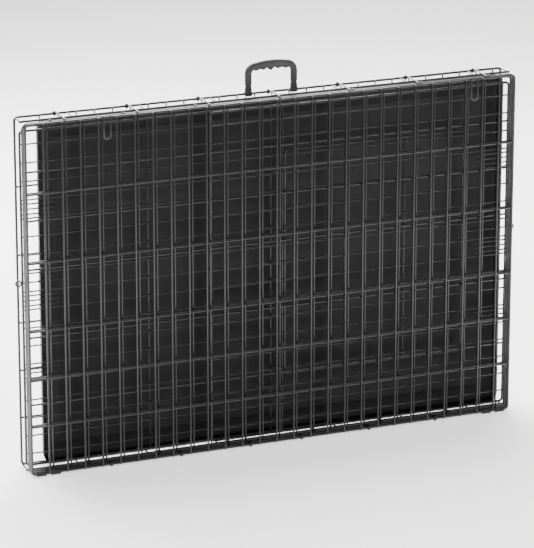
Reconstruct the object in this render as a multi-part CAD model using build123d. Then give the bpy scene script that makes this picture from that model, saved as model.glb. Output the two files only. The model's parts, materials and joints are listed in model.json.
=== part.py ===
from build123d import *
import math
import os

# A folding wire dog crate, closed flat like a suitcase and standing on a long edge.
# X runs along the crate, -Y is the side that the closed crate shows, +Z is up to the handle.
# From back to front it is a stack: floor panel, plastic pan, left end, right end,
# rear side, top panel and front side. The two sides and the top unfold as a chain.

# ---- driving sizes, in millimetres ----
crate_length = 1219.0       # outside of the end posts, the 48 inch size
panel_height = 832.0        # between the centres of the bottom and top rails, 33 inches outside
rail_radius = 3.0           # the bent wire round each panel
long_radius = 2.4           # the few wires that run the long way
cross_radius = 1.9          # the many thin wires
wire_pitch = 43.5           # thin wire to thin wire
corner_radius = 8.0         # bend at a panel's corners
layer_gap = 0.8             # air between the closed panels
lip_gap = 2.6               # air between the lip rail's plates and the rear side
close_row = 115.0           # long wires: the three close rows
nest_gap = 4.0              # between the top's thin wires and the rear side's, side by side
plate_wire_gap = 0.55       # between a hinge plate and the rear side's thin wire next to it
swing_over_gap = 1.0        # the top panel swings over the rear side's upper rail
end_high_gap = 24.0         # an end panel to the top rail
end_reach = 760.0           # how far an end panel reaches along the crate

pan_depth = 24.0
pan_wall = 2.5
pan_corner = 26.0
pan_end_gap = 22.0          # end post to the pan
pan_right_gap = 3.0         # the pan is pushed towards the right end post
pan_rest_gap = 0.7          # the pan's lower edge above the lip's bars
pan_top_gap = 6.5           # the pan's edge to the top rail's height, under the stack clips' arms

knuckle_wall = 3.0          # a hinge plate round a rail
knuckle_width = 7.0
running_gap = 0.08          # radial clearance where a rail turns in a hinge plate
seat_gap = 0.03             # radial clearance where a plate is fixed to a rail

handle_leg_gap = 2.6        # each leg stands beside a thin wire of the floor
handle_offset = 18.0        # from the crate's middle, with the floor's thin wires set evenly about it
handle_height = 75.0
handle_bar = 17.0           # height of the grip and width of the legs
handle_thickness = 13.0     # thin enough for the legs to swing past the pan's edge
handle_bow = 7.0
handle_eye_wall = 4.0       # a leg's eye round the rail
handle_shoulder = 20.0
handle_inner_shoulder = 10.0
handle_fillet = 3.5
finger_bump_radius = 8.0
finger_bump_pitch = 25.0

hook_drop = 50.0
hook_width = 16.0
hook_wall = 2.0
hook_sleeve = 6.0           # width of each sleeve round the rail
clip_step = 4               # a stack clip at every fourth thin wire
hinge_step = 4              # hinges of one kind stand four bays apart
foot_side_gap = 3.85        # a foot fills the bay between two thin wires
foot_side_wall = 3.0
foot_top_wall = 1.0
inner_foot_bay = 5
front_foot_length = 24.0    # a round sleeve on the front side's bottom rail, two at each end
front_foot_gap = 2.5        # to a thin wire or to the rail's bend

door_width = 470.0
door_first_row = 3          # the end panel's first thin wire that the doorway cuts
door_top_room = 100.1       # doorway to the end panel's top rail
door_gap = 1.2
ring_wall = 1.1
bolt_length = 120.0
bolt_loop_radius = 6.5
bolt_reach = 2.0            # the bolt's tip past the end post
guide_wall = 1.3
outer_guide_share = 0.35    # of the bolt's length, from the end post
inner_guide_share = 0.75
door_guide_gap = 18.75      # the doorway starts past the bolt's inner guide
rod_length = 84.0
rod_pitch = 12.0

# ---- places worked out from the sizes ----
knuckle_radius = rail_radius + knuckle_wall
bottom_rail_z = knuckle_radius              # the hinge plates reach down to the ground
half_length = crate_length / 2
post_x = half_length - rail_radius
top_rail_z = bottom_rail_z + panel_height
grid_side = rail_radius + cross_radius      # rail centre to thin wire centre
grid_thickness = 2 * rail_radius + 2 * cross_radius

floor_y = 0.0
pan_back_y = floor_y - rail_radius - 2 * cross_radius - layer_gap
pan_front_y = pan_back_y - pan_depth
left_end_y = pan_front_y - layer_gap - rail_radius
right_end_y = left_end_y - grid_thickness - layer_gap
rear_side_y = right_end_y - grid_thickness - layer_gap
top_y = rear_side_y - grid_thickness - layer_gap
front_side_y = top_y - rail_radius - knuckle_radius - layer_gap
lip_y = rear_side_y + 2 * knuckle_radius + lip_gap
rear_side_top_z = top_rail_z - 2 * rail_radius - swing_over_gap

# thin wires stand beside the hinge plates, the top's beside the rear side's
rear_side_shift = wire_pitch / 2 - knuckle_width / 2 - cross_radius - plate_wire_gap
top_shift = rear_side_shift - 2 * cross_radius - nest_gap

# past the last thin wire there is room for a front foot before the rail's bend
outer_foot_end = post_x - corner_radius - front_foot_gap
side_wire_count = int((outer_foot_end - front_foot_length - front_foot_gap - cross_radius) / wire_pitch)


def bay_middle(number):
    """The middle between two thin wires, counted from the crate's middle."""
    return (number + 0.5) * wire_pitch


def both_halves(right_bays):
    """Bays of the right half, with the same bays of the left half before them."""
    return [-bay - 1 for bay in reversed(right_bays)] + list(right_bays)


# each kind of hinge has bays of its own, so that folded plates lie beside each other
front_hinge_bays = both_halves(range(1, side_wire_count - 1, hinge_step))
rear_hinge_bays = both_halves(range(2, side_wire_count - 1, hinge_step))
lip_bar_bays = both_halves(range(3, side_wire_count - 1, hinge_step))
top_hinge_bays = both_halves(range(4, side_wire_count, hinge_step))
hook_bays = (front_hinge_bays[0], lip_bar_bays[-1])

nodes = {}


# ---- helpers ----
def rod(start, end, radius):
    """A straight wire from one point to another."""
    start, end = Vector(*start), Vector(*end)
    along = end - start
    return Solid.make_cylinder(radius, along.length, Plane(origin=start, z_dir=along))


def rail_ring(low_x, high_x, low_z, high_z, y):
    """The bent wire round a panel, given by its centre line."""
    width, height = high_x - low_x, high_z - low_z
    middle = Vector((low_x + high_x) / 2, y, (low_z + high_z) / 2)
    plane = Plane(origin=middle, x_dir=(1, 0, 0), z_dir=(0, -1, 0))
    path = plane * RectangleRounded(width, height, corner_radius)
    start = Vector(middle.X, y, high_z)
    section = Plane(origin=start, z_dir=(1, 0, 0)) * Circle(rail_radius)
    return sweep(section, path=path.faces()[0].outer_wire()).solid()


def stretches(low, high, hole):
    """A wire's stretches from low to high, either side of a hole."""
    if hole is None:
        return [(low, high)]
    return [(low, hole[0]), (hole[1], high)]


def plate(fixed, turning, width, x):
    """A hinge plate with a seat on one rail and a running hole for the other."""
    fixed_y, fixed_z = fixed
    turning_y, turning_z = turning
    outer = knuckle_radius
    first = rod((x - width / 2, fixed_y, fixed_z), (x + width / 2, fixed_y, fixed_z), outer)
    second = rod((x - width / 2, turning_y, turning_z), (x + width / 2, turning_y, turning_z), outer)
    span = math.hypot(turning_y - fixed_y, turning_z - fixed_z)
    tilt = math.degrees(math.atan2(turning_z - fixed_z, turning_y - fixed_y))
    middle = (x, (fixed_y + turning_y) / 2, (fixed_z + turning_z) / 2)
    web = Location(middle) * Rotation(tilt, 0, 0) * Box(width, span, 2 * outer)
    body = first + second + web
    body -= rod((x - width, fixed_y, fixed_z), (x + width, fixed_y, fixed_z), rail_radius + seat_gap)
    hole = rail_radius + running_gap
    body -= rod((x - width, turning_y, turning_z), (x + width, turning_y, turning_z), hole)
    return body.solid()


def eye(x, y, z, outer, bore, width):
    """A short sleeve round a rail that runs along X."""
    body = rod((x - width / 2, y, z), (x + width / 2, y, z), outer)
    return (body - rod((x - width, y, z), (x + width, y, z), bore)).solid()


# ---- the four long panels ----
def thin_wire_places(shift=0.0):
    return [n * wire_pitch + shift for n in range(-side_wire_count, side_wire_count + 1)]


def long_wire_heights(close_at_bottom):
    """Three close rows, then the rest of the height in three equal rows."""
    wide_row = (panel_height - 3 * close_row) / 3
    heights = [close_row, 2 * close_row, 3 * close_row]
    heights += [3 * close_row + wide_row, 3 * close_row + 2 * wide_row]
    if close_at_bottom:
        return [bottom_rail_z + height for height in heights]
    return [top_rail_z - height for height in reversed(heights)]


def long_panel(name, y, high_z, thin_side, close_at_bottom, shift=0.0):
    """A full length panel: a rail ring, long wires in its plane and thin wires on one face."""
    nodes[name + "_frame"] = [rail_ring(-post_x, post_x, bottom_rail_z, high_z, y)]
    long_y = y + thin_side * (rail_radius - long_radius)
    inside = post_x - rail_radius
    nodes[name + "_long_wires"] = [
        rod((-inside, long_y, z), (inside, long_y, z), long_radius)
        for z in long_wire_heights(close_at_bottom) if z < high_z - 2 * rail_radius
    ]
    thin_y = y + thin_side * grid_side
    nodes[name + "_thin_wires"] = [
        rod((x, thin_y, bottom_rail_z - cross_radius), (x, thin_y, high_z + cross_radius), cross_radius)
        for x in thin_wire_places(shift)
    ]


long_panel("floor", floor_y, top_rail_z, -1, True, handle_offset)
long_panel("rear_side", rear_side_y, rear_side_top_z, -1, False, rear_side_shift)
long_panel("top", top_y, top_rail_z, 1, True, top_shift)
long_panel("front_side", front_side_y, top_rail_z, -1, True)


# ---- the floor's raised lips, which carry the pan and the hinge plates ----
def floor_lip(z):
    rail = rod((-half_length, lip_y, z), (half_length, lip_y, z), rail_radius)
    places = [bay_middle(bay) + handle_offset for bay in lip_bar_bays]
    places += [-half_length + 2 * cross_radius, half_length - 2 * cross_radius]
    bars = [rod((x, floor_y - rail_radius, z), (x, lip_y + rail_radius, z), cross_radius) for x in places]
    return [rail] + bars


nodes["floor_bottom_lip"] = floor_lip(bottom_rail_z)
nodes["floor_top_lip"] = floor_lip(top_rail_z)


# ---- the pan: a shallow tray whose open side faces the front ----
def make_pan():
    length = crate_length - 2 * (2 * rail_radius + pan_end_gap)
    bottom_gap = cross_radius + pan_rest_gap
    height = panel_height - bottom_gap - pan_top_gap
    middle_z = bottom_rail_z + bottom_gap + height / 2
    pan_offset = pan_end_gap - pan_right_gap
    back = Plane(origin=(pan_offset, pan_back_y, middle_z), x_dir=(1, 0, 0), z_dir=(0, -1, 0))
    tray = extrude(back * RectangleRounded(length, height, pan_corner), pan_depth, dir=(0, -1, 0))
    inner = Plane(origin=(pan_offset, pan_back_y - pan_wall, middle_z), x_dir=(1, 0, 0), z_dir=(0, -1, 0))
    room = inner * RectangleRounded(
        length - 2 * pan_wall, height - 2 * pan_wall, pan_corner - pan_wall
    )
    return (tray - extrude(room, pan_depth, dir=(0, -1, 0))).solid()


nodes["pan"] = [make_pan()]


# ---- the two end panels, folded in between the pan and the rear side ----
end_low_z = bottom_rail_z + knuckle_radius + rail_radius + layer_gap
end_high_z = top_rail_z - end_high_gap
end_thin_count = int((end_high_z - end_low_z - 2 * rail_radius) / wire_pitch)
end_first_z = (end_high_z + end_low_z - (end_thin_count - 1) * wire_pitch) / 2
end_thin_heights = [end_first_z + n * wire_pitch for n in range(end_thin_count)]

door_low_z = end_thin_heights[door_first_row] - wire_pitch / 2
door_high_z = end_high_z - door_top_room
door_outer_x = post_x - inner_guide_share * bolt_length - door_guide_gap
door_inner_x = door_outer_x - door_width


def end_panel(name, side, y, door):
    """An end panel: a rail ring, thin wires along X on the front and a few upright wires."""
    outer_x = side * post_x
    inner_x = side * (half_length - end_reach)
    low_x, high_x = min(outer_x, inner_x), max(outer_x, inner_x)
    nodes[name + "_frame"] = [rail_ring(low_x, high_x, end_low_z, end_high_z, y)]
    hole_x = (door_inner_x, door_outer_x) if door else None
    thin_y = y - grid_side
    thin = []
    for z in end_thin_heights:
        beside_door = door and door_low_z < z < door_high_z
        for start, end in stretches(low_x, high_x, hole_x if beside_door else None):
            thin.append(rod((start, thin_y, z), (end, thin_y, z), cross_radius))
    nodes[name + "_thin_wires"] = thin
    upright_y = y - (rail_radius - long_radius)
    uprights = []
    places = [side * (post_x - n * 3.5 * wire_pitch) for n in range(1, 5)]
    if door:
        places = [door_inner_x, door_outer_x]
    for x in places:
        low, high = end_low_z + rail_radius, end_high_z - rail_radius
        uprights.append(rod((x, upright_y, low), (x, upright_y, high), long_radius))
    nodes[name + "_uprights"] = uprights


end_panel("left_end", -1, left_end_y, False)
end_panel("right_end", 1, right_end_y, True)


def end_rods(side, y):
    """Groups of three short rods beside the end post, at a quarter, half and three quarters."""
    rods = []
    for share in (0.25, 0.5, 0.75):
        bay = round(share * (end_thin_count - 1))
        middle = end_thin_heights[bay] + wire_pitch / 2
        for n in (-1, 0, 1):
            z = middle + n * rod_pitch
            start, end = side * post_x, side * (post_x - rod_length)
            rods.append(rod((start, y - grid_side, z), (end, y - grid_side, z), cross_radius))
    return rods


nodes["left_end_rods"] = end_rods(-1, left_end_y)
nodes["right_end_rods"] = end_rods(1, right_end_y)


# ---- the door in the right end ----
def make_door():
    gap = long_radius + rail_radius + door_gap
    low_x, high_x = door_inner_x + gap, door_outer_x - gap
    low_z, high_z = door_low_z + gap, door_high_z - gap
    nodes["door_frame"] = [rail_ring(low_x, high_x, low_z, high_z, right_end_y)]
    thin_y = right_end_y - grid_side
    nodes["door_thin_wires"] = [
        rod((low_x, thin_y, z), (high_x, thin_y, z), cross_radius)
        for z in end_thin_heights if low_z < z < high_z
    ]
    upright_y = right_end_y - (rail_radius - long_radius)
    step = (high_x - low_x) / 3
    nodes["door_uprights"] = [
        rod((low_x + n * step, upright_y, low_z + rail_radius),
            (low_x + n * step, upright_y, high_z - rail_radius), long_radius)
        for n in (1, 2)
    ]


make_door()


door_last_row = max(row for row, z in enumerate(end_thin_heights) if z < door_high_z)
first_ring_bay = door_first_row + 1
last_ring_bay = door_last_row - 2
door_ring_bays = (first_ring_bay, (first_ring_bay + last_ring_bay) // 2, last_ring_bay)


def door_ring(z):
    """A wire loop, drawn as a plate, that holds the door's rail to the end's upright wire."""
    gap = long_radius + rail_radius + door_gap
    upright_y = right_end_y - (rail_radius - long_radius)
    rail_x = door_outer_x - gap
    outer = rail_radius + ring_wall
    low, high = z - knuckle_width / 2, z + knuckle_width / 2
    body = rod((rail_x, right_end_y, low), (rail_x, right_end_y, high), outer)
    body += rod((door_outer_x, upright_y, low), (door_outer_x, upright_y, high), long_radius + ring_wall)
    body -= rod((rail_x, right_end_y, low - 1), (rail_x, right_end_y, high + 1), rail_radius + seat_gap)
    body -= rod((door_outer_x, upright_y, low - 1), (door_outer_x, upright_y, high + 1),
                long_radius + seat_gap)
    return body.solid()


nodes["door_hinge_rings"] = [
    door_ring(end_thin_heights[bay] + wire_pitch / 2) for bay in door_ring_bays
]


# ---- slide bolts, which run along X in two guide loops on each end panel ----
bolt_bay = round(0.5 * (end_thin_count - 1)) + 1
bolt_z = end_thin_heights[bolt_bay] + wire_pitch / 2


def slide_bolt(side, y):
    """A straight bolt with a finger loop outside the end post."""
    bolt_y = y - grid_side
    tip = side * (half_length + bolt_reach)
    tail = tip - side * bolt_length
    bar = rod((tail, bolt_y, bolt_z), (tip, bolt_y, bolt_z), cross_radius)
    loop_plane = Plane(origin=(tip + side * bolt_loop_radius, bolt_y, bolt_z), z_dir=(0, 1, 0))
    loop = Solid.make_torus(bolt_loop_radius, cross_radius, loop_plane)
    return (bar + loop).solid()


def bolt_guides(side, y):
    guides = []
    for reach in (outer_guide_share, inner_guide_share):
        x = side * (half_length - reach * bolt_length)
        guides.append(eye(x, y - grid_side, bolt_z, cross_radius + guide_wall,
                          cross_radius + running_gap, knuckle_width))
    return guides


nodes["left_bolt"] = [slide_bolt(-1, left_end_y)]
nodes["right_bolt"] = [slide_bolt(1, right_end_y)]
nodes["bolt_guides"] = bolt_guides(-1, left_end_y) + bolt_guides(1, right_end_y)


# ---- hinge plates ----
rear_hinge = (rear_side_y, bottom_rail_z)
top_hinge = (top_y, top_rail_z)
front_hinge = (front_side_y, bottom_rail_z)

nodes["rear_hinge_plates"] = [
    plate((lip_y, bottom_rail_z), rear_hinge, knuckle_width, bay_middle(bay)) for bay in rear_hinge_bays
]
nodes["top_hinge_plates"] = [
    plate((rear_side_y, rear_side_top_z), top_hinge, knuckle_width, bay_middle(bay))
    for bay in top_hinge_bays
]
nodes["front_hinge_plates"] = [
    plate((top_y, bottom_rail_z), front_hinge, knuckle_width, bay_middle(bay))
    for bay in front_hinge_bays
]


# ---- clips that lie over the closed stack and turn on the floor's top rail ----
def stack_clip(x):
    ring = rod((x - knuckle_width / 2, floor_y, top_rail_z),
               (x + knuckle_width / 2, floor_y, top_rail_z), knuckle_radius)
    height = top_rail_z + rail_radius + cross_radius + layer_gap
    arm = rod((x, floor_y, height), (x, front_side_y - rail_radius, height), cross_radius)
    bore = rod((x - knuckle_width, floor_y, top_rail_z), (x + knuckle_width, floor_y, top_rail_z),
               rail_radius + running_gap)
    return (ring + arm - bore).solid()


clip_side_count = side_wire_count // clip_step
clip_places = [
    n * clip_step * wire_pitch + wire_pitch / 4 for n in range(-clip_side_count, clip_side_count + 1)
]
nodes["stack_clips"] = [stack_clip(x) for x in clip_places]


# ---- two U hooks that hang on the front side's top rail ----
def hanging_hook(x):
    outer = rail_radius + hook_wall
    hang_y = front_side_y - grid_side
    half = hook_width / 2
    body = None
    for side in (-1, 1):
        leg_x = x + side * half
        sleeve = rod((leg_x - hook_sleeve / 2, front_side_y, top_rail_z),
                     (leg_x + hook_sleeve / 2, front_side_y, top_rail_z), outer)
        leg = rod((leg_x, hang_y, top_rail_z), (leg_x, hang_y, top_rail_z - hook_drop + half), cross_radius)
        body = sleeve + leg if body is None else body + sleeve + leg
    bend_plane = Plane(origin=(x, hang_y, top_rail_z - hook_drop + half), z_dir=(0, 1, 0))
    ring = Solid.make_torus(half, cross_radius, bend_plane)
    keep = Location((x, hang_y, top_rail_z - hook_drop)) * Box(2 * hook_width, 4 * cross_radius, hook_width)
    body += ring & keep
    bore = rod((x - hook_width, front_side_y, top_rail_z), (x + hook_width, front_side_y, top_rail_z),
               rail_radius + running_gap)
    return (body - bore).solid()


nodes["left_hook"] = [hanging_hook(bay_middle(hook_bays[0]))]
nodes["right_hook"] = [hanging_hook(bay_middle(hook_bays[1]))]


# ---- the carrying handle, a moulded bail on the floor's top rail ----
def bail_outline(width, height, bow, shoulder):
    """A U turned over, with a bowed top and rounded shoulders."""
    half = width / 2
    with BuildSketch(Plane.XZ) as outline:
        with BuildLine():
            Line((-half, 0), (-half, height - shoulder - bow))
            Spline((-half, height - shoulder - bow), (-half + shoulder, height - bow / 2), (0, height),
                   (half - shoulder, height - bow / 2), (half, height - shoulder - bow),
                   tangents=((0, 1), (0, -1)))
            Line((half, height - shoulder - bow), (half, 0))
            Line((half, 0), (-half, 0))
        make_face()
    return outline.sketch


def make_handle():
    handle_width = 2 * (wire_pitch + cross_radius + handle_leg_gap + handle_bar)
    outer = bail_outline(handle_width, handle_height, handle_bow, handle_shoulder)
    inner = bail_outline(handle_width - 2 * handle_bar, handle_height - handle_bar, handle_bow,
                         handle_inner_shoulder)
    shell = extrude(outer, handle_thickness / 2, both=True) - extrude(inner, handle_thickness, both=True)
    grip_z = handle_height - handle_bar
    for step in (-1, 0, 1):
        bump_x = step * finger_bump_pitch
        bump_z = grip_z + 2 - abs(step)
        shell += rod((bump_x, -handle_thickness / 2, bump_z), (bump_x, handle_thickness / 2, bump_z),
                     finger_bump_radius)
    bail = shell.solid()
    bail = bail.fillet(handle_fillet, bail.edges().filter_by(lambda e: not is_along_y(e)))
    leg_x = handle_width / 2 - handle_bar / 2
    for side in (-1, 1):
        bail += rod((side * leg_x - handle_bar / 2, 0, 0), (side * leg_x + handle_bar / 2, 0, 0),
                    rail_radius + handle_eye_wall)
    bail -= rod((-handle_width, 0, 0), (handle_width, 0, 0), rail_radius + running_gap)
    return (Location((handle_offset, floor_y, top_rail_z)) * bail).solid()


def is_along_y(edge):
    return abs(edge.tangent_at(0.5).Y) > 0.5 or edge.center().Z < 0.5


nodes["handle"] = [make_handle()]


# ---- plastic feet clipped round the floor's bottom rail ----
foot_width = wire_pitch - 2 * cross_radius - 2 * foot_side_gap
foot_depth = 2 * (rail_radius + foot_side_wall)
foot_height = bottom_rail_z + rail_radius + foot_top_wall
foot_room = post_x - corner_radius - foot_width / 2 - handle_offset
outer_foot_bay = int(foot_room / wire_pitch - 0.5)


def foot(x):
    block = Location((x, floor_y, foot_height / 2)) * Box(foot_width, foot_depth, foot_height)
    bore = rod((x - foot_width, floor_y, bottom_rail_z), (x + foot_width, floor_y, bottom_rail_z),
               rail_radius + seat_gap)
    return (block - bore).solid()


nodes["rear_feet"] = [
    foot(bay_middle(bay) + handle_offset) for bay in both_halves((inner_foot_bay, outer_foot_bay))
]


def front_feet():
    """Two sleeves near each end, either side of the last thin wire."""
    last_wire_x = side_wire_count * wire_pitch
    inner_foot_end = last_wire_x - cross_radius - front_foot_gap
    feet = []
    for side in (-1, 1):
        for end in (inner_foot_end, outer_foot_end):
            x = side * (end - front_foot_length / 2)
            feet.append(eye(x, front_side_y, bottom_rail_z, knuckle_radius, rail_radius + seat_gap,
                            front_foot_length))
    return feet


nodes["front_feet"] = front_feet()


# ---- move the origin to the middle of the base, and write the pieces ----
whole = Compound(children=[solid for solids in nodes.values() for solid in solids]).bounding_box()
to_base_middle = Location((
    -(whole.min.X + whole.max.X) / 2, -(whole.min.Y + whole.max.Y) / 2, -whole.min.Z
))

os.makedirs("parts", exist_ok=True)
for name, solids in nodes.items():
    placed = [to_base_middle * solid for solid in solids]
    export_step(Compound(children=placed), os.path.join("parts", name + ".step"))
print(len(nodes), "nodes,", round(whole.size.X), round(whole.size.Y), round(whole.size.Z), "mm")
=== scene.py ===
import json
import math
import bmesh
import bpy
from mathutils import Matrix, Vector


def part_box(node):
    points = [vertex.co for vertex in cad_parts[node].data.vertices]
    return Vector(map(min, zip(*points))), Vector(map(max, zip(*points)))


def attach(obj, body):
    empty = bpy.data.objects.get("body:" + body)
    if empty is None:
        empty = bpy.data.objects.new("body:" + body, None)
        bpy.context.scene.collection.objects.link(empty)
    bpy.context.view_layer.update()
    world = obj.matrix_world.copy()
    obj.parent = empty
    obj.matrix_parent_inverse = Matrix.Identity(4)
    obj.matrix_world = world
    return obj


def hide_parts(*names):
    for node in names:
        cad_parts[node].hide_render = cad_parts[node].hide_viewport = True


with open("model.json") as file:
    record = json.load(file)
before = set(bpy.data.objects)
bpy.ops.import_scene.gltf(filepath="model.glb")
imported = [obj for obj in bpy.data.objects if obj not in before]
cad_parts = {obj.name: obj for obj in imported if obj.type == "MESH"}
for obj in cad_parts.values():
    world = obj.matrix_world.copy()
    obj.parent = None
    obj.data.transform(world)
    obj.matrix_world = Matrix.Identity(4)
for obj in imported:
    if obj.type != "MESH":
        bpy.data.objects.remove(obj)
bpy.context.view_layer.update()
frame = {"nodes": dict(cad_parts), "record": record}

mm = 0.001
slotOfNode = {row["node"]: row["material_slot"] for row in frame["record"]["subparts"]}
bodies = frame["record"]["behaviour"]["bodies"]
bodyOfNode = {node: body for body, nodes in bodies.items() for node in nodes}
nodeNames = sorted(frame["nodes"])
print("stage: frame loaded,", len(nodeNames), "nodes")


def linearColour(hexText):
    values = [int(hexText[n:n + 2], 16) / 255 for n in (1, 3, 5)]
    return tuple(v / 12.92 if v <= 0.04045 else ((v + 0.055) / 1.055) ** 2.4 for v in values) + (1.0,)


def metres(form, *keys):
    # values of a piece that are given in millimetres
    return [form[key] * mm for key in keys]


def addNode(tree, kind, inputs, **settings):
    # inputs are plain values or another node's output socket, settings are the node's own values
    node = tree.nodes.new(kind)
    for key, value in settings.items():
        setattr(node, key, value)
    for key, value in inputs.items():
        if isinstance(value, bpy.types.NodeSocket):
            tree.links.new(value, node.inputs[key])
        else:
            node.inputs[key].default_value = value
    return node


def newMaterial(name):
    material = bpy.data.materials.new(name)
    material.use_nodes = True
    tree = material.node_tree
    shader = tree.nodes["Principled BSDF"]
    place = addNode(tree, "ShaderNodeTexCoord", {}).outputs["Object"]
    return material, tree, shader, place


def noiseAt(tree, place, sizeMm, detail=2.0, roughness=0.5):
    inputs = {"Vector": place, "Scale": 1 / (sizeMm * mm), "Detail": detail, "Roughness": roughness}
    return addNode(tree, "ShaderNodeTexNoise", inputs, noise_dimensions="3D").outputs["Fac"]


def rampBetween(tree, factor, low, high, start, end):
    # a colour ramp from low to high between two factor places
    ramp = addNode(tree, "ShaderNodeValToRGB", {"Fac": factor})
    first, last = ramp.color_ramp.elements
    first.position, last.position = start, end
    first.color, last.color = low, high
    return ramp.outputs["Color"]


def spread(tree, factor, low, high):
    # a factor from 0 to 1 becomes a value from low to high
    inputs = {"Value": factor, "To Min": low, "To Max": high}
    return addNode(tree, "ShaderNodeMapRange", inputs, clamp=True).outputs["Result"]


def bumpFrom(tree, height, strength, distanceMm):
    inputs = {"Height": height, "Strength": strength, "Distance": distanceMm * mm}
    return addNode(tree, "ShaderNodeBump", inputs).outputs["Normal"]


powderCoat = {"dark": "#0b0b0c", "light": "#151516", "cloudMm": 60.0, "cloudRange": (0.35, 0.7),
              "rough": (0.24, 0.36), "peelMm": 1.6, "peelStrength": 0.25, "peelHighMm": 0.12,
              "ior": 1.5, "coatWeight": 0.25, "coatRough": 0.18}


def makePowderCoat():
    # black polyester powder baked on steel: satin, with a fine orange peel and slightly uneven gloss
    material, tree, shader, place = newMaterial("blackPowderCoatedSteel")
    cloud = noiseAt(tree, place, powderCoat["cloudMm"], 3.0)
    dark, light = linearColour(powderCoat["dark"]), linearColour(powderCoat["light"])
    colour = rampBetween(tree, cloud, dark, light, *powderCoat["cloudRange"])
    tree.links.new(colour, shader.inputs["Base Color"])
    tree.links.new(spread(tree, cloud, *powderCoat["rough"]), shader.inputs["Roughness"])
    peel = noiseAt(tree, place, powderCoat["peelMm"], 1.0)
    bump = bumpFrom(tree, peel, powderCoat["peelStrength"], powderCoat["peelHighMm"])
    tree.links.new(bump, shader.inputs["Normal"])
    shader.inputs["Coat Weight"].default_value = powderCoat["coatWeight"]
    shader.inputs["Coat Roughness"].default_value = powderCoat["coatRough"]
    shader.inputs["IOR"].default_value = powderCoat["ior"]
    return material


panPlastic = {"dark": "#070707", "light": "#0e0e0f", "flowMm": 220.0, "flowRange": (0.3, 0.75),
              "scuffMm": 9.0, "rough": (0.38, 0.62), "grainMm": 1.4, "grainStrength": 0.18,
              "grainHighMm": 0.1, "ior": 1.49, "specularLevel": 0.3}


def makePanPlastic():
    # injection moulded polypropylene: a fine leather grain, dull, with faint scuffs that catch light
    material, tree, shader, place = newMaterial("mouldedPolypropylene")
    flow = noiseAt(tree, place, panPlastic["flowMm"], 4.0, 0.6)
    dark, light = linearColour(panPlastic["dark"]), linearColour(panPlastic["light"])
    colour = rampBetween(tree, flow, dark, light, *panPlastic["flowRange"])
    tree.links.new(colour, shader.inputs["Base Color"])
    scuff = noiseAt(tree, place, panPlastic["scuffMm"], 5.0, 0.7)
    tree.links.new(spread(tree, scuff, *panPlastic["rough"]), shader.inputs["Roughness"])
    cellInputs = {"Vector": place, "Scale": 1 / (panPlastic["grainMm"] * mm)}
    cells = addNode(tree, "ShaderNodeTexVoronoi", cellInputs, feature="F1").outputs["Distance"]
    bump = bumpFrom(tree, cells, panPlastic["grainStrength"], panPlastic["grainHighMm"])
    tree.links.new(bump, shader.inputs["Normal"])
    shader.inputs["IOR"].default_value = panPlastic["ior"]
    shader.inputs["Specular IOR Level"].default_value = panPlastic["specularLevel"]
    return material


handlePlastic = {"dark": "#1d1d20", "light": "#2a2a2e", "cloudMm": 25.0, "cloudRange": (0.3, 0.7),
                 "rough": (0.34, 0.48), "grainMm": 0.9, "grainStrength": 0.3, "grainHighMm": 0.1}


def makeHandlePlastic():
    # moulded ABS with a spark eroded texture: satin charcoal, a soft highlight on the rounded grip
    material, tree, shader, place = newMaterial("sparkTexturedAbs")
    cloud = noiseAt(tree, place, handlePlastic["cloudMm"], 3.0)
    dark, light = linearColour(handlePlastic["dark"]), linearColour(handlePlastic["light"])
    colour = rampBetween(tree, cloud, dark, light, *handlePlastic["cloudRange"])
    tree.links.new(colour, shader.inputs["Base Color"])
    tree.links.new(spread(tree, cloud, *handlePlastic["rough"]), shader.inputs["Roughness"])
    grain = noiseAt(tree, place, handlePlastic["grainMm"], 2.0)
    bump = bumpFrom(tree, grain, handlePlastic["grainStrength"], handlePlastic["grainHighMm"])
    tree.links.new(bump, shader.inputs["Normal"])
    return material


footRubber = {"dark": "#0f0f0f", "light": "#1c1c1c", "speckMm": 2.0, "speckRange": (0.4, 0.8),
              "rough": (0.65, 0.85), "speckStrength": 0.3, "speckHighMm": 0.15}


def makeFootRubber():
    # moulded rubber: matt black with a dusty bloom
    material, tree, shader, place = newMaterial("mouldedRubber")
    speck = noiseAt(tree, place, footRubber["speckMm"], 4.0)
    dark, light = linearColour(footRubber["dark"]), linearColour(footRubber["light"])
    colour = rampBetween(tree, speck, dark, light, *footRubber["speckRange"])
    tree.links.new(colour, shader.inputs["Base Color"])
    tree.links.new(spread(tree, speck, *footRubber["rough"]), shader.inputs["Roughness"])
    bump = bumpFrom(tree, speck, footRubber["speckStrength"], footRubber["speckHighMm"])
    tree.links.new(bump, shader.inputs["Normal"])
    return material


coat = makePowderCoat()
finishOfSlot = {
    "powder_coated_wire": coat,
    "hinge_plate": coat,
    "moulded_pan": makePanPlastic(),
    "moulded_handle": makeHandlePlastic(),
    "rubber_foot": makeFootRubber(),
}


def giveFinish(piece, slotName):
    piece.data.materials.clear()
    piece.data.materials.append(finishOfSlot[slotName])


for nodeName, cadPiece in frame["nodes"].items():
    giveFinish(cadPiece, slotOfNode[nodeName])
print("stage: materials made")


def deselectAll():
    bpy.ops.object.select_all(action="DESELECT")


def joinPieces(pieces, name):
    deselectAll()
    for piece in pieces:
        piece.select_set(True)
    bpy.context.view_layer.objects.active = pieces[0]
    if len(pieces) > 1:
        bpy.ops.object.join()
    pieces[0].name = name
    return pieces[0]


smoothDegrees = 40          # edges that turn less than this are shaded smooth


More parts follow.
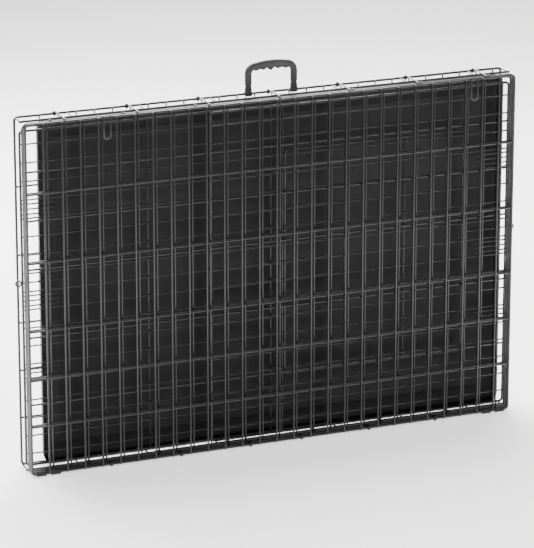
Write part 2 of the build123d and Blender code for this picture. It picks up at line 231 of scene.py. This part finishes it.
def finishPiece(piece, nodeName):
    # settles the object at the origin, and lets it stand for its CAD node
    deselectAll()
    piece.select_set(True)
    bpy.context.view_layer.objects.active = piece
    bpy.ops.object.transform_apply(location=True, rotation=True, scale=True)
    bpy.ops.object.mode_set(mode="EDIT")
    bpy.ops.mesh.select_all(action="SELECT")
    bpy.ops.mesh.normals_make_consistent(inside=False)
    bpy.ops.object.mode_set(mode="OBJECT")
    bpy.ops.object.shade_smooth_by_angle(angle=math.radians(smoothDegrees))
    giveFinish(piece, slotOfNode[nodeName])
    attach(piece, bodyOfNode[nodeName])
    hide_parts(nodeName)
    return piece


def boxesOf(nodeName):
    # the lowest and highest corners of each separate solid in a node
    mesh = bmesh.new()
    mesh.from_mesh(frame["nodes"][nodeName].data)
    bmesh.ops.remove_doubles(mesh, verts=mesh.verts, dist=0.001 * mm)     # the triangles come loose
    seen, boxes = set(), []
    for start in mesh.verts:
        if start.index in seen:
            continue
        seen.add(start.index)
        island, waiting = [], [start]
        while waiting:
            vert = waiting.pop()
            island.append(vert.co)
            for edge in vert.link_edges:
                other = edge.other_vert(vert)
                if other.index not in seen:
                    seen.add(other.index)
                    waiting.append(other)
        boxes.append((Vector([min(c[n] for c in island) for n in range(3)]),
                      Vector([max(c[n] for c in island) for n in range(3)])))
    mesh.free()
    return boxes


roundWire = {"bevelSteps": 3, "endShare": 0.72}


def bentWire(name, points, radius, cyclic=False):
    # a round wire along a run of points, with its two ends drawn in a little
    curve = bpy.data.curves.new(name, "CURVE")
    curve.dimensions = "3D"
    curve.bevel_depth = radius
    curve.bevel_resolution = roundWire["bevelSteps"]
    curve.use_fill_caps = True
    line = curve.splines.new("POLY")
    line.points.add(len(points) - 1)
    for point, place in zip(line.points, points):
        point.co = (*place, 1.0)
    line.use_cyclic_u = cyclic
    piece = bpy.data.objects.new(name, curve)
    bpy.context.scene.collection.objects.link(piece)
    if not cyclic:
        line.points[0].radius = line.points[-1].radius = roundWire["endShare"]
    deselectAll()
    piece.select_set(True)
    bpy.context.view_layer.objects.active = piece
    bpy.ops.object.convert(target="MESH")
    return bpy.context.view_layer.objects.active


def arcPoints(centre, radius, start, end, across, up, steps):
    # points on an arc in the plane of two unit directions, angles in degrees
    points = []
    for n in range(steps + 1):
        angle = math.radians(start + (end - start) * n / steps)
        turned = across * (radius * math.cos(angle)) + up * (radius * math.sin(angle))
        points.append(centre + turned)
    return points


alongX, alongY, alongZ = Vector((1, 0, 0)), Vector((0, 1, 0)), Vector((0, 0, 1))


def cornerArcs(low, high, y, inset, radius, steps):
    # the four corner arcs of an outline that is set in from a box, at one place along Y
    reach = inset + radius
    places = [(high.x - reach, high.z - reach, 0), (low.x + reach, high.z - reach, 90),
              (low.x + reach, low.z + reach, 180), (high.x - reach, low.z + reach, 270)]
    points = []
    for x, z, start in places:
        points += arcPoints(Vector((x, y, z)), radius, start, start + 90, alongX, alongZ, steps)
    return points


frameLow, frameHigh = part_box("floor_frame")
railRadius = (frameHigh.y - frameLow.y) / 2


def rodAlongX(place, radius, length, sides):
    deselectAll()
    bpy.ops.mesh.primitive_cylinder_add(vertices=sides, radius=radius, depth=length, location=place,
                                        rotation=(0, math.pi / 2, 0))
    return bpy.context.object


def roundEnds(rod, offset, steps):
    # rounds the rims of a cylinder's two flat ends
    bpy.ops.object.mode_set(mode="EDIT")
    bpy.ops.mesh.select_mode(type="FACE")
    bpy.ops.mesh.select_all(action="DESELECT")
    shape = bmesh.from_edit_mesh(rod.data)
    for face in shape.faces:
        face.select = len(face.verts) > 4
    bmesh.update_edit_mesh(rod.data)
    bpy.ops.mesh.bevel(offset=offset, segments=steps, affect="EDGES")
    bpy.ops.object.mode_set(mode="OBJECT")


wireShape = {"sides": 14, "endRoundMm": 0.6, "endSteps": 2}


def straightWire(low, high):
    size = high - low
    axis = max(range(3), key=lambda n: size[n])
    radius = min(size) / 2
    turn = [(0, math.pi / 2, 0), (math.pi / 2, 0, 0), (0, 0, 0)][axis]
    deselectAll()
    bpy.ops.mesh.primitive_cylinder_add(
        vertices=wireShape["sides"], radius=radius, depth=size[axis],
        location=(low + high) / 2, rotation=turn)
    wire = bpy.context.object
    roundEnds(wire, wireShape["endRoundMm"] * mm, wireShape["endSteps"])
    return wire


def straightWires(nodeName):
    # each different length is modelled once, and the rest are copies in their own places
    models, wires = {}, []
    for low, high in boxesOf(nodeName):
        size = high - low
        key = tuple(round(value / mm, 1) for value in size)
        if key in models:
            wire = models[key].copy()
            wire.data = models[key].data.copy()
            bpy.context.scene.collection.objects.link(wire)
            wire.location = (low + high) / 2
        else:
            wire = straightWire(low, high)
            models[key] = wire
        wires.append(wire)
    return finishPiece(joinPieces(wires, nodeName + "_drawn"), nodeName)


for nodeName in nodeNames:
    if nodeName.endswith(("_wires", "_uprights", "_rods", "_lip")):
        straightWires(nodeName)
print("stage: straight wires drawn")


railShape = {"cornerMm": 8.0, "cornerSteps": 8}


def bentRail(nodeName):
    low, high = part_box(nodeName)
    radius = (high.y - low.y) / 2
    corner = railShape["cornerMm"] * mm
    points = cornerArcs(low, high, (low.y + high.y) / 2, radius, corner, railShape["cornerSteps"])
    return finishPiece(bentWire(nodeName + "_drawn", points, radius, True), nodeName)


for nodeName in nodeNames:
    if nodeName.endswith("_frame"):
        bentRail(nodeName)
print("stage: rails drawn")


weld = {"widthMm": 2.5, "thickMm": 1.2}


def spotWelds(panel, acrossNode, body):
    # a small flattened bead wherever a thin wire crosses another, between the two
    thin = boxesOf(panel + "_thin_wires")
    across = boxesOf(acrossNode)
    deselectAll()
    bpy.ops.mesh.primitive_ico_sphere_add(subdivisions=1, radius=1.0)
    model = bpy.context.object
    model.scale = (weld["widthMm"] * mm, weld["thickMm"] * mm, weld["widthMm"] * mm)
    beads = []
    for thinLow, thinHigh in thin:
        thinMiddle = (thinLow + thinHigh) / 2
        upright = thinHigh.z - thinLow.z > thinHigh.x - thinLow.x
        for low, high in across:
            middle = (low + high) / 2
            crossing = Vector((thinMiddle.x, (thinMiddle.y + middle.y) / 2, middle.z))
            if not upright:
                crossing = Vector((middle.x, crossing.y, thinMiddle.z))
                if not thinLow.x < crossing.x < thinHigh.x:
                    continue
            bead = model.copy()
            bead.data = model.data.copy()
            bead.location = crossing
            bpy.context.scene.collection.objects.link(bead)
            beads.append(bead)
    bpy.data.objects.remove(model)
    piece = joinPieces(beads, panel + "_spot_welds")
    deselectAll()
    piece.select_set(True)
    bpy.ops.object.transform_apply(location=True, rotation=True, scale=True)
    bpy.ops.object.shade_smooth()
    giveFinish(piece, "powder_coated_wire")
    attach(piece, body)


for panel, body in (("floor", "root"), ("rear_side", "rear_side"), ("top", "top_panel"),
                    ("front_side", "front_side")):
    spotWelds(panel, panel + "_long_wires", body)
for panel in ("left_end", "right_end", "door"):
    spotWelds(panel, panel + "_uprights", "root")
print("stage: spot welds drawn")


# each hinge plate of the CAD model is drawn as two turns of wire round both rails
# wireMm is the wire's radius, here and in the pieces below
hingeLoop = {"wireMm": 1.4, "outerMm": 6.0, "steps": 10, "halfApartMm": 1.47}


def loopTurn(name, x, first, second):
    # one closed turn round two rails, seen along X
    radius = (hingeLoop["outerMm"] - hingeLoop["wireMm"]) * mm
    between = (second - first).normalized()
    up = Vector((0, -between.z, between.y))
    place = Vector((x, 0, 0))
    steps = hingeLoop["steps"]
    points = arcPoints(place + second, radius, -90, 90, between, up, steps)
    points += arcPoints(place + first, radius, 90, 270, between, up, steps)
    return bentWire(name, points, hingeLoop["wireMm"] * mm, True)


def hingeLoops(nodeName, first, second):
    turns = []
    for low, high in boxesOf(nodeName):
        x = (low.x + high.x) / 2
        for side in (-1, 1):
            turns.append(loopTurn(nodeName, x + side * hingeLoop["halfApartMm"] * mm, first, second))
    return finishPiece(joinPieces(turns, nodeName + "_drawn"), nodeName)


def railPlace(nodeName, atTop):
    # the middle of a panel's top or bottom rail, seen along X
    low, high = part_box(nodeName)
    return Vector((0, (low.y + high.y) / 2, high.z - railRadius if atTop else low.z + railRadius))


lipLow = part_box("floor_bottom_lip")[0]
lipRail = Vector((0, lipLow.y + railRadius, lipLow.z + railRadius))
hingeLoops("rear_hinge_plates", lipRail, railPlace("rear_side_frame", False))
hingeLoops("top_hinge_plates", railPlace("rear_side_frame", True), railPlace("top_frame", True))
hingeLoops("front_hinge_plates", railPlace("top_frame", False), railPlace("front_side_frame", False))
print("stage: hinge loops drawn")


coil = {"steps": 14, "pitch": 2.05}         # points to a turn, and a turn's pitch in wire radii


def coilRound(centre, radius, wire, turns, startDegrees=0.0):
    # points of a close coil of wire round a rail that runs along X
    count = round(turns * coil["steps"])
    points = []
    for n in range(count + 1):
        angle = math.radians(startDegrees) + 2 * math.pi * n / coil["steps"]
        shift = (n / count - 0.5) * turns * wire * coil["pitch"]
        turned = alongY * (radius * math.cos(angle)) + alongZ * (radius * math.sin(angle))
        points.append(centre + alongX * shift + turned)
    return points


stackClip = {"wireMm": 1.9, "eyeWireMm": 1.425, "eyeTurns": 2.0, "looseMm": 0.1,
             "tailBackMm": 2.2, "tailDownMm": 2.4, "shoulderDownMm": 0.6, "shoulderShare": 0.5,
             "tipRunMm": 3.0, "tipBendMm": 0.8, "tipStepMm": 0.5, "tipDownMm": 2.0}


def makeStackClips():
    # each clip is one wire: two turns round the floor's rail, then an arm over the stack with a bent tip
    railAt = railPlace("floor_frame", True)
    wire, eyeWire, loose = metres(stackClip, "wireMm", "eyeWireMm", "looseMm")
    tailBack, tailDown, shoulderDown = metres(stackClip, "tailBackMm", "tailDownMm", "shoulderDownMm")
    tipRun, tipBend, tipStep, tipDown = metres(stackClip, "tipRunMm", "tipBendMm", "tipStepMm", "tipDownMm")
    pieces = []
    for low, high in boxesOf("stack_clips"):
        x = (low.x + high.x) / 2
        armZ, tipY = high.z - wire, low.y + wire
        shoulderY = railAt.y - (armZ - railAt.z) * stackClip["shoulderShare"]
        centre = Vector((x, railAt.y, railAt.z))
        eye = coilRound(centre, railRadius + loose + eyeWire, eyeWire, stackClip["eyeTurns"], 90)
        pieces.append(bentWire("clip_eye", eye, eyeWire))
        arm = [(railAt.y + tailBack, armZ - tailDown), (railAt.y, armZ - shoulderDown), (shoulderY, armZ),
               (tipY + tipRun, armZ), (tipY + tipBend, armZ - tipStep), (tipY, armZ - tipDown)]
        pieces.append(bentWire("clip_arm", [Vector((x, y, z)) for y, z in arm], wire))
    return finishPiece(joinPieces(pieces, "stack_clips_drawn"), "stack_clips")


frontHook = {"wireMm": 1.9, "eyeWireMm": 0.85, "eyeTurns": 2.5, "looseMm": 0.1, "insetMm": 3.0,
             "neckMm": 3.0, "bendSteps": 8}


def makeHook(nodeName):
    # a U of one wire that hangs from two small coils on the front side's top rail
    low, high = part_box(nodeName)
    railAt = railPlace("front_side_frame", True)
    wire, eyeWire, loose = metres(frontHook, "wireMm", "eyeWireMm", "looseMm")
    inset, neck = metres(frontHook, "insetMm", "neckMm")
    x = (low.x + high.x) / 2
    half = (high.x - low.x) / 2 - inset
    hangY, lowZ = low.y + wire, low.z + wire
    pieces = []
    for side in (-1, 1):
        centre = Vector((x + side * half, railAt.y, railAt.z))
        eye = coilRound(centre, railRadius + loose + eyeWire, eyeWire, frontHook["eyeTurns"], 180)
        pieces.append(bentWire("hook_eye", eye, eyeWire))
    upper, lower = (railAt.y - railRadius, railAt.z), (hangY, railAt.z - neck)
    points = [Vector((x - half, *upper)), Vector((x - half, *lower))]
    bend = Vector((x, hangY, lowZ + half))
    points += arcPoints(bend, half, 180, 360, alongX, alongZ, frontHook["bendSteps"])
    points += [Vector((x + half, *lower)), Vector((x + half, *upper))]
    pieces.append(bentWire("hook_legs", points, wire))
    return finishPiece(joinPieces(pieces, nodeName + "_drawn"), nodeName)


slideBolt = {"wireMm": 1.9, "neckMm": 3.0, "loopSteps": 24}


def makeBolt(nodeName, side):
    # one wire: a straight bolt that ends in a closed finger loop
    low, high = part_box(nodeName)
    wire, neckLong = metres(slideBolt, "wireMm", "neckMm")
    y, z = (low.y + high.y) / 2, (low.z + high.z) / 2
    loop = (high.z - low.z) / 2 - wire
    outer = high.x - wire if side > 0 else low.x + wire
    tail = low.x + wire if side > 0 else high.x - wire
    centre = Vector((outer - side * loop, y, z))
    neck = centre - alongX * (side * loop)
    points = [Vector((tail, y, z)), neck - alongX * (side * neckLong), neck]
    points += arcPoints(centre, loop, 180, 540, alongX * side, alongZ, slideBolt["loopSteps"])[1:]
    return finishPiece(bentWire(nodeName + "_drawn", points, wire), nodeName)


boltGuide = {"wireMm": 0.75, "pitchMm": 1.5625, "fewerTurns": 0.6}


def makeGuides():
    # each guide is a few close turns of thinner wire round the bolt
    wire, pitch = metres(boltGuide, "wireMm", "pitchMm")
    pieces = []
    for low, high in boxesOf("bolt_guides"):
        radius = (high.z - low.z) / 2 - wire
        turns = (high.x - low.x) / pitch - boltGuide["fewerTurns"]
        pieces.append(bentWire("guide", coilRound((low + high) / 2, radius, wire, turns), wire))
    return finishPiece(joinPieces(pieces, "bolt_guides_drawn"), "bolt_guides")


doorRing = {"wireMm": 0.525, "pitchMm": 2.205, "bendSteps": 8}


def makeDoorRings():
    # three turns of wire round the door's rail and the end panel's upright, seen from above
    wire, pitch = metres(doorRing, "wireMm", "pitchMm")
    steps = doorRing["bendSteps"]
    pieces = []
    for low, high in boxesOf("door_hinge_rings"):
        radius = (high.y - low.y) / 2 - wire
        middle = (low + high) / 2
        first = Vector((low.x + radius + wire, middle.y, 0))
        second = Vector((high.x - radius - wire, middle.y, 0))
        for turn in (-1, 0, 1):
            place = Vector((0, 0, middle.z + turn * pitch))
            points = arcPoints(place + second, radius, -90, 90, alongX, alongY, steps)
            points += arcPoints(place + first, radius, 90, 270, alongX, alongY, steps)
            pieces.append(bentWire("ring", points, wire, True))
    return finishPiece(joinPieces(pieces, "door_hinge_rings_drawn"), "door_hinge_rings")


makeStackClips()
makeHook("left_hook")
makeHook("right_hook")
makeBolt("left_bolt", -1)
makeBolt("right_bolt", 1)
makeGuides()
makeDoorRings()
print("stage: wire forms drawn")


# each pair is an inset from the pan's outline, and a height over the base, below the rim or over the inside
panForm = {
    "cornerMm": 26.0, "leastCornerMm": 2.0, "cornerSteps": 10, "wallMm": 2.5,
    "footMm": ((8.0, 0.0), (5.0, 0.75), (3.5, 2.5), (2.7, 5.0)),
    "rimMm": ((0.9, 3.5), (0.2, 3.0), (0.0, 2.0), (0.3, 0.4), (1.0, 0.0), (2.25, 0.2), (3.0, 1.2)),
    "insideMm": ((5.5, 7.0), (7.5, 2.5), (11.5, 0.0)),
    "ribMm": ((42.0, 0.0), (44.0, 1.0), (49.0, 1.0), (51.0, 0.0)),
}


def makePan():
    # rings from the outside of the base, up the drawn wall, over the rim, down inside and across the floor
    low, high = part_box("pan")
    corner, least, wall = metres(panForm, "cornerMm", "leastCornerMm", "wallMm")
    insideY = high.y - wall
    profile = [(inset, high.y - up * mm) for inset, up in panForm["footMm"]]
    profile += [(inset, low.y + down * mm) for inset, down in panForm["rimMm"]]
    profile += [(inset, insideY - up * mm) for inset, up in panForm["insideMm"] + panForm["ribMm"]]
    mesh = bmesh.new()
    rings = []
    for inset, y in profile:
        radius = max(corner - inset * mm, least)
        outline = cornerArcs(low, high, y, inset * mm, radius, panForm["cornerSteps"])
        rings.append([mesh.verts.new(point) for point in outline])
    for first, second in zip(rings, rings[1:]):
        count = len(first)
        for k in range(count):
            mesh.faces.new((first[k], first[(k + 1) % count], second[(k + 1) % count], second[k]))
    mesh.faces.new(rings[0])
    mesh.faces.new(rings[-1][::-1])
    data = bpy.data.meshes.new("pan_drawn")
    mesh.to_mesh(data)
    mesh.free()
    piece = bpy.data.objects.new("pan_drawn", data)
    bpy.context.scene.collection.objects.link(piece)
    return finishPiece(piece, "pan")


makePan()
print("stage: pan drawn")


footForm = {"roundMm": 2.2, "roundSteps": 4, "sides": 28}


def makeFrontFeet():
    # round sleeves on the rail, with soft ends
    pieces = []
    for low, high in boxesOf("front_feet"):
        foot = rodAlongX((low + high) / 2, (high.z - low.z) / 2, high.x - low.x, footForm["sides"])
        roundEnds(foot, footForm["roundMm"] * mm, footForm["roundSteps"])
        pieces.append(foot)
    return finishPiece(joinPieces(pieces, "front_feet_drawn"), "front_feet")


def makeRearFeet():
    # blocks clipped round the rail, with rounded edges
    pieces = []
    for low, high in boxesOf("rear_feet"):
        deselectAll()
        bpy.ops.mesh.primitive_cube_add(size=1.0, location=(low + high) / 2)
        foot = bpy.context.object
        foot.scale = high - low
        bpy.ops.object.transform_apply(location=False, rotation=False, scale=True)
        edge = foot.modifiers.new("roundEdge", "BEVEL")
        edge.width, edge.segments = footForm["roundMm"] * mm, footForm["roundSteps"]
        bpy.ops.object.modifier_apply(modifier=edge.name)
        pieces.append(foot)
    return finishPiece(joinPieces(pieces, "rear_feet_drawn"), "rear_feet")


makeFrontFeet()
makeRearFeet()
print("stage: feet drawn")


# bumps are (middle along the grip, depth), and the band is a neck round each leg
handleForm = {"barMm": 16.4, "thickMm": 12.6, "shoulderMm": 18.0, "bowMm": 4.0, "shoulderSteps": 8,
              "ringStepMm": 1.6, "sides": 20, "squareness": 0.75,
              "gripHalfMm": 46.0, "gripMoreMm": 1.5, "bumpWideMm": 12.0,
              "bumpsMm": ((-39, 2.6), (-20.5, 4.2), (-1.5, 7.6), (18, 4.2), (37, 2.6)),
              "bandMm": (15.0, 20.0), "bandDeepMm": 1.2,
              "eyeMm": 6.9, "eyeSides": 40, "eyeRoundMm": 1.4, "eyeRoundSteps": 3,
              "boreMm": 3.1, "boreSides": 32, "boreLongMm": 400.0}


def handleLine(width, height):
    # quarter circle shoulders and a bowed top, from the foot of one leg to the other
    shoulder, bow = metres(handleForm, "shoulderMm", "bowMm")
    steps = handleForm["shoulderSteps"]
    half = width / 2
    inner = half - shoulder
    sideTop = height - bow - shoulder
    leg = [Vector((-half, 0, 0)), Vector((-half, 0, sideTop / 2)), Vector((-half, 0, sideTop))]
    leg += arcPoints(Vector((-inner, 0, sideTop)), shoulder, 180, 90, alongX, alongZ, steps)[1:]
    top = []
    for n in range(1, 4 * steps):
        x = -inner + 2 * inner * n / (4 * steps)
        top.append(Vector((x, 0, sideTop + shoulder + bow * (1 - (x / inner) ** 2))))
    return leg + top + [Vector((-p.x, 0, p.z)) for p in reversed(leg)]


def handleSection(place):
    # half widths outwards and inwards and the half thickness of the bar at a point of its line
    gripHalf, gripMore, bandDeep = metres(handleForm, "gripHalfMm", "gripMoreMm", "bandDeepMm")
    outward, thick = (value / 2 for value in metres(handleForm, "barMm", "thickMm"))
    onGrip = max(0.0, 1 - (abs(place.x) / gripHalf) ** 4)
    if onGrip == 0:
        low, high = handleForm["bandMm"]
        band = bandDeep if low * mm < place.z < high * mm else 0.0
        return outward - band, outward - band, thick - band
    inward = outward + onGrip * gripMore
    for middle, depth in handleForm["bumpsMm"]:
        away = min(1.0, abs(place.x / mm - middle) / handleForm["bumpWideMm"])
        inward += depth * mm * (1 + math.cos(math.pi * away)) / 2
    return outward, inward, thick


def rounded(value):
    # a circle's sine or cosine, pushed out towards a rounded square
    return math.copysign(abs(value) ** handleForm["squareness"], value)


def makeBail(width, height, foot):
    # rings of a rounded bar are set along the handle's line and bridged
    line = handleLine(width, height)
    places = []
    for first, second in zip(line, line[1:]):
        count = max(1, round((second - first).length / (handleForm["ringStepMm"] * mm)))
        places += [first.lerp(second, n / count) for n in range(count)]
    places.append(line[-1])
    sides = handleForm["sides"]
    mesh = bmesh.new()
    rings = []
    for n, place in enumerate(places):
        ahead = places[min(n + 1, len(places) - 1)] - places[max(n - 1, 0)]
        ahead.normalize()
        outside = Vector((-ahead.z, 0, ahead.x))
        outward, inward, thick = handleSection(place)
        ring = []
        for k in range(sides):
            across, along = math.cos(2 * math.pi * k / sides), math.sin(2 * math.pi * k / sides)
            reach = outward if across > 0 else inward
            corner = outside * (rounded(across) * reach) + alongY * (rounded(along) * thick)
            ring.append(mesh.verts.new(place + corner + foot))
        rings.append(ring)
    for first, second in zip(rings, rings[1:]):
        for k in range(sides):
            mesh.faces.new((first[k], first[(k + 1) % sides], second[(k + 1) % sides], second[k]))
    mesh.faces.new(rings[0][::-1])
    mesh.faces.new(rings[-1])
    data = bpy.data.meshes.new("handle_bail")
    mesh.to_mesh(data)
    mesh.free()
    bail = bpy.data.objects.new("handle_bail", data)
    bpy.context.scene.collection.objects.link(bail)
    return bail


def combine(piece, other, operation):
    # joins another piece on, or cuts it away
    deselectAll()
    piece.select_set(True)
    bpy.context.view_layer.objects.active = piece
    step = piece.modifiers.new("combine", "BOOLEAN")
    step.operation, step.object, step.solver = operation, other, "EXACT"
    bpy.ops.object.modifier_apply(modifier=step.name)
    bpy.data.objects.remove(other)


def makeHandle():
    # the bail, then an eye at each leg's foot, then the bore for the floor's rail through both
    low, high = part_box("handle")
    rail = railPlace("floor_frame", True)
    foot = Vector(((low.x + high.x) / 2, rail.y, rail.z))
    bar, eyeRadius, eyeRound, bore, boreLong = metres(
        handleForm, "barMm", "eyeMm", "eyeRoundMm", "boreMm", "boreLongMm")
    width = high.x - low.x - bar
    bail = makeBail(width, high.z - rail.z - bar / 2, foot)
    eyes = []
    for side in (-1, 1):
        eye = rodAlongX(foot + alongX * (side * width / 2), eyeRadius, bar, handleForm["eyeSides"])
        edge = eye.modifiers.new("roundEdge", "BEVEL")
        edge.width, edge.segments = eyeRound, handleForm["eyeRoundSteps"]
        bpy.ops.object.modifier_apply(modifier=edge.name)
        eyes.append(eye)
    for eye in eyes:
        combine(bail, eye, "UNION")
    combine(bail, rodAlongX(foot, bore, boreLong, handleForm["boreSides"]), "DIFFERENCE")
    bail.name = "handle_drawn"
    return finishPiece(bail, "handle")


makeHandle()
print("stage: handle drawn")


cameraPlace = {"azimuth": -22.16, "elevation": 17.51, "distance": 8.146, "right": -0.007, "height": 0.408,
               "lensMm": 234.7, "sensorMm": 36.0, "clipEnd": 60.0}


def placeCamera():
    azimuth = math.radians(cameraPlace["azimuth"])
    elevation = math.radians(cameraPlace["elevation"])
    back = Vector((math.sin(azimuth) * math.cos(elevation), -math.cos(azimuth) * math.cos(elevation),
                   math.sin(elevation)))
    right = Vector((math.cos(azimuth), math.sin(azimuth), 0))
    camera = bpy.data.objects.new("camera", bpy.data.cameras.new("camera"))
    camera.data.sensor_fit = "HORIZONTAL"
    camera.data.sensor_width = cameraPlace["sensorMm"]
    camera.data.lens = cameraPlace["lensMm"]
    camera.data.clip_end = cameraPlace["clipEnd"]
    target = Vector((0, 0, cameraPlace["height"])) + right * cameraPlace["right"]
    camera.location = target + back * cameraPlace["distance"]
    camera.rotation_euler = (-back).to_track_quat("-Z", "Y").to_euler()
    bpy.context.scene.collection.objects.link(camera)
    bpy.context.scene.camera = camera


# each light is a name, its place, what it looks at, its size and its power
studio = {
    "floorHex": "#f4f4f3", "floorSize": 30.0, "floorRough": 0.9, "floorGlow": 1.0,
    "worldHex": "#ffffff", "worldStrength": 0.85,
    "lights": (("keyLight", (-3.2, -2.6, 3.4), (0, 0, 0.4), 2.2, 90),
               ("fillLight", (3.4, -3.8, 2.2), (0, 0, 0.4), 3.0, 40),
               ("topLight", (0, 1.9, 2.9), (0, 0, 0.8), 3.4, 620)),
}


def softLight(name, place, target, size, power):
    light = bpy.data.objects.new(name, bpy.data.lights.new(name, "AREA"))
    light.data.size = size
    light.data.energy = power
    light.location = place
    light.rotation_euler = (Vector(target) - Vector(place)).to_track_quat("-Z", "Y").to_euler()
    bpy.context.scene.collection.objects.link(light)


def makeStudio():
    world = bpy.data.worlds.new("studioWorld")
    bpy.context.scene.world = world
    world.use_nodes = True
    background = world.node_tree.nodes["Background"]
    background.inputs["Color"].default_value = linearColour(studio["worldHex"])
    background.inputs["Strength"].default_value = studio["worldStrength"]
    deselectAll()
    bpy.ops.mesh.primitive_plane_add(size=studio["floorSize"], location=(0, 0, 0))
    floor = bpy.context.object
    floor.name = "studio_floor"
    material = newMaterial("paintedStudioFloor")[0]
    inputs = material.node_tree.nodes["Principled BSDF"].inputs
    inputs["Base Color"].default_value = linearColour(studio["floorHex"])
    inputs["Roughness"].default_value = studio["floorRough"]
    inputs["Emission Color"].default_value = linearColour(studio["floorHex"])
    inputs["Emission Strength"].default_value = studio["floorGlow"]
    floor.data.materials.append(material)
    for light in studio["lights"]:
        softLight(*light)


placeCamera()
makeStudio()
print("stage: studio made")
